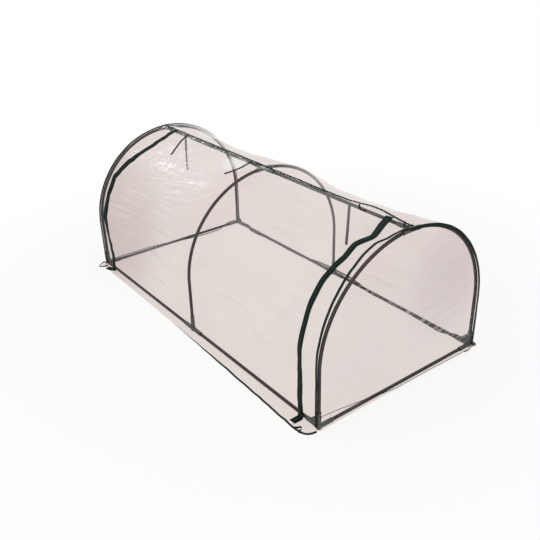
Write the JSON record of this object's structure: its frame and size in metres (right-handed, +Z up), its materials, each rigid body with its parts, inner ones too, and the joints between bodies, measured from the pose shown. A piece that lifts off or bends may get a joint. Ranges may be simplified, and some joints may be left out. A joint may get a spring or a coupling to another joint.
{
  "type": "polytunnel greenhouse",
  "caption": "Low garden polytunnel: tubular steel hoops on ground rails with push-fit connectors, under a clear film cover with a zipped roll-up front and ground skirts",
  "frame": {"origin": "centre of the footprint, on the ground", "axes": "+X along the ridge, -Y to the zipped front, +Z up"},
  "size_m": [2.0756, 1.1524, 0.7929],
  "materials": {
    "tube": "satin dark brown powder coat",
    "connector": "moulded grey-green plastic",
    "film": "clear glossy film with fine creases",
    "tape": "woven dark green binding tape",
    "zip": "dark green zip tape with a moulded chain",
    "slider": "painted zip slider"
  },
  "bodies": {
    "root": {"left_front_leg": "tube", "left_back_leg": "tube", "mid_front_leg": "tube", "mid_back_leg": "tube", "right_front_leg": "tube", "right_back_leg": "tube", "left_front_arc": "tube", "left_back_arc": "tube", "mid_front_arc": "tube", "mid_back_arc": "tube", "right_front_arc": "tube", "right_back_arc": "tube", "front_left_rail": "tube", "front_right_rail": "tube", "back_left_rail": "tube", "back_right_rail": "tube", "left_end_rail": "tube", "right_end_rail": "tube", "left_ridge_pole": "tube", "right_ridge_pole": "tube", "front_left_corner": "connector", "front_right_corner": "connector", "back_left_corner": "connector", "back_right_corner": "connector", "front_rail_tee": "connector", "back_rail_tee": "connector", "left_ridge_tee": "connector", "right_ridge_tee": "connector", "ridge_cross": "connector", "back_sheet": "film", "front_door": "film", "left_front_strip": "film", "right_front_strip": "film", "left_end_panel": "film", "right_end_panel": "film", "left_zip": "zip", "right_zip": "zip", "zip_sliders": "slider", "ridge_binding": "tape", "end_bindings": "tape", "hem_bindings": "tape", "tie_left_outer": "tape", "tie_left_inner": "tape", "tie_mid_outer": "tape", "tie_right_inner": "tape", "tie_right_outer": "tape"}
  },
  "joints": []
}
